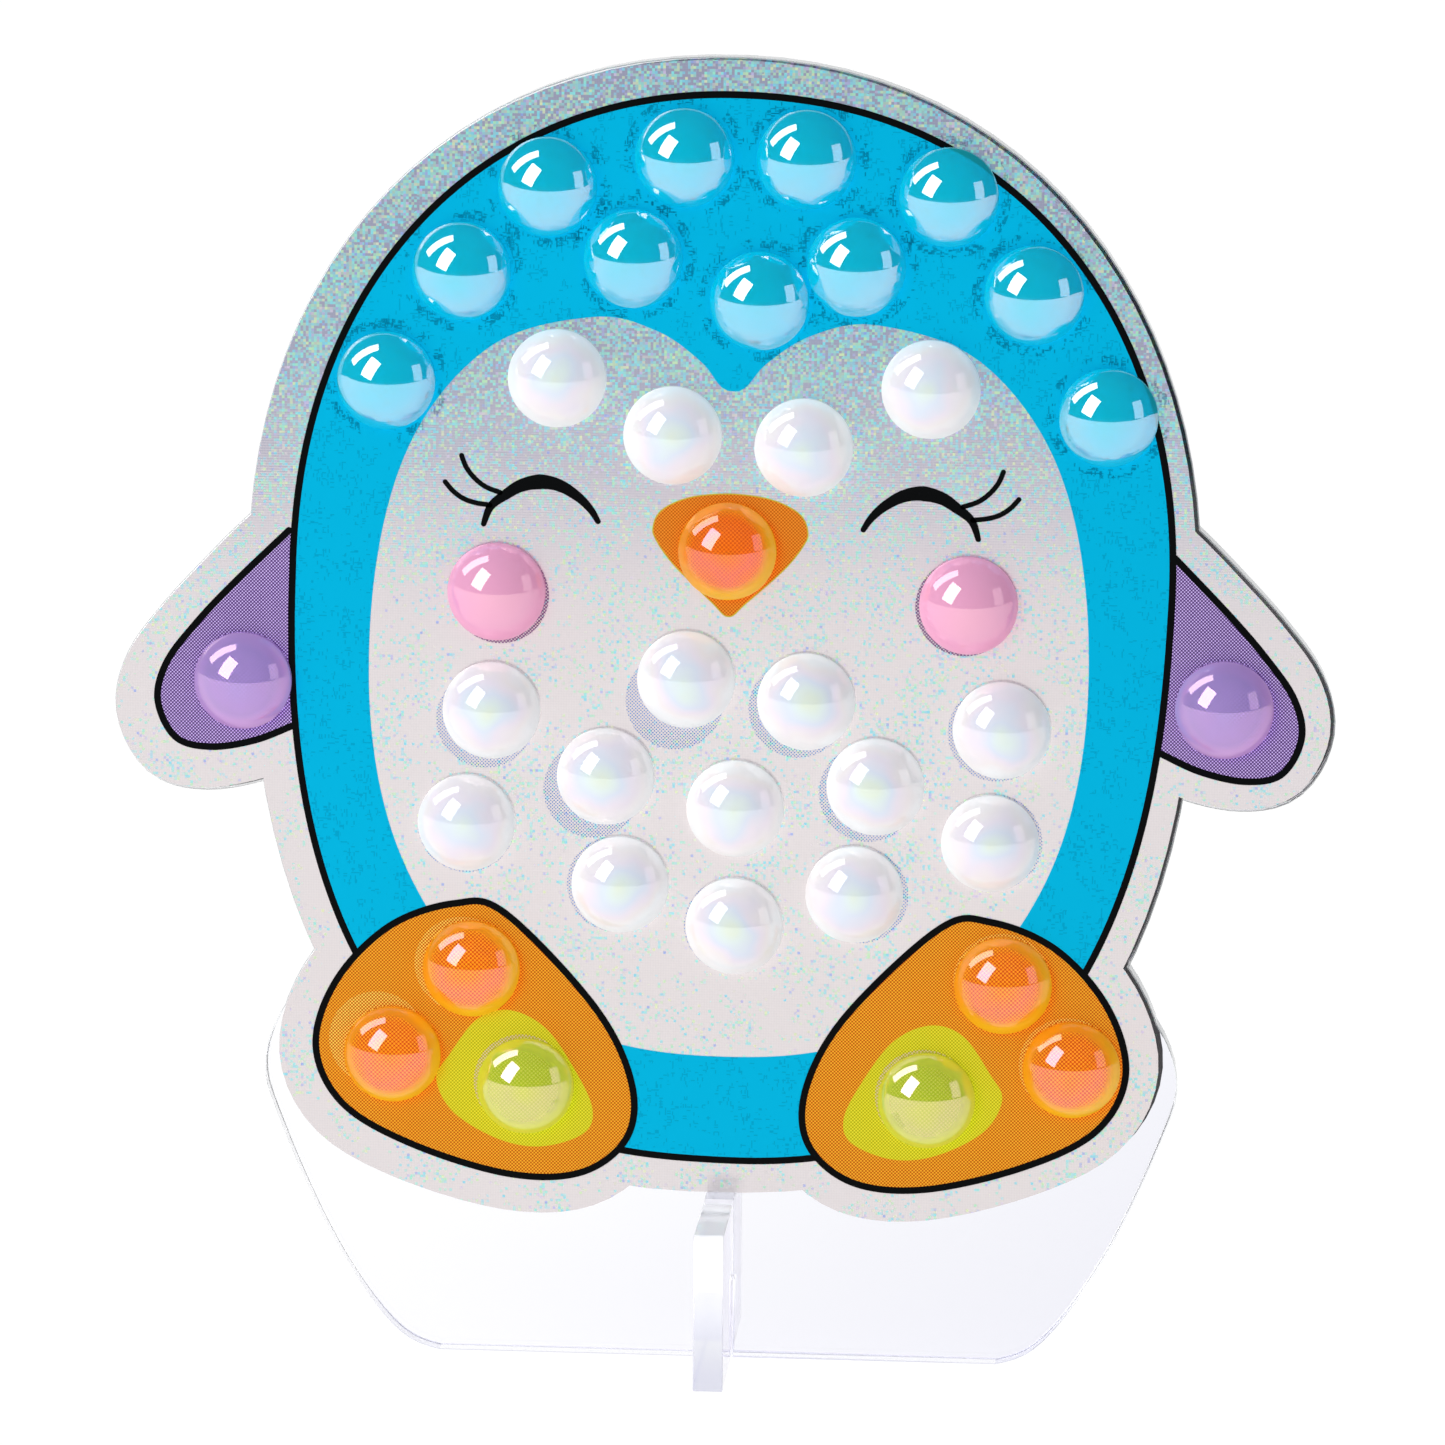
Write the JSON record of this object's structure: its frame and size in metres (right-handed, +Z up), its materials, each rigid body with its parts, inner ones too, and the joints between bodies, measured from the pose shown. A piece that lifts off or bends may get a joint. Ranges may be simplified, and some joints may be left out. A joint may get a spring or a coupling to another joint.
{
  "type": "gem art desk stand",
  "caption": "Clear bird-shaped desk stand with a printed glitter film, domed gems and a slot-in cross foot.",
  "frame": {"origin": "centre of the bottom, on the table, in the middle of the board's thickness", "axes": "+X to the right as the picture is looked at, the picture faces -Y, +Z up"},
  "size_m": [0.122, 0.028, 0.1319],
  "materials": {
    "clear_sheet": "polished clear acrylic sheet",
    "printed_film": "glossy printed film with a fine holographic glitter grid",
    "silver_film": "glossy silver film with a fine holographic glitter grid",
    "clear_glue": "clear soft adhesive",
    "blue_gem": "glossy translucent blue resin with a rainbow coating",
    "clear_gem": "glossy milky resin with a rainbow coating",
    "pink_gem": "glossy translucent pink resin with a rainbow coating",
    "orange_gem": "glossy translucent orange resin with a rainbow coating",
    "purple_gem": "glossy translucent purple resin with a rainbow coating",
    "green_gem": "glossy translucent lime resin with a rainbow coating"
  },
  "bodies": {
    "foot": {"cross_foot": "clear_sheet"},
    "board": {"clear_board": "clear_sheet", "front_sticker": "printed_film", "back_sticker": "silver_film", "gem_glue_dots": "clear_glue", "head_gem_1": "blue_gem", "head_gem_2": "blue_gem", "head_gem_3": "blue_gem", "head_gem_4": "blue_gem", "head_gem_5": "blue_gem", "head_gem_6": "blue_gem", "head_gem_7": "blue_gem", "head_gem_8": "blue_gem", "head_gem_9": "blue_gem", "head_gem_10": "blue_gem", "head_gem_11": "blue_gem", "face_gem_1": "clear_gem", "face_gem_2": "clear_gem", "face_gem_3": "clear_gem", "face_gem_4": "clear_gem", "belly_gem_1": "clear_gem", "belly_gem_2": "clear_gem", "belly_gem_3": "clear_gem", "belly_gem_4": "clear_gem", "belly_gem_5": "clear_gem", "belly_gem_6": "clear_gem", "belly_gem_7": "clear_gem", "belly_gem_8": "clear_gem", "belly_gem_9": "clear_gem", "belly_gem_10": "clear_gem", "belly_gem_11": "clear_gem", "belly_gem_12": "clear_gem", "cheek_gem_1": "pink_gem", "cheek_gem_2": "pink_gem", "beak_gem_1": "orange_gem", "wing_gem_1": "purple_gem", "wing_gem_2": "purple_gem", "foot_gem_1": "orange_gem", "foot_gem_2": "orange_gem", "foot_gem_3": "orange_gem", "foot_gem_4": "orange_gem", "toe_gem_1": "green_gem", "toe_gem_2": "green_gem"}
  },
  "joints": [
    {"name": "board_lift", "type": "slide", "parent": "foot", "child": "board", "axis": [0, 0, 1], "range_m": [0, 0.008]}
  ]
}
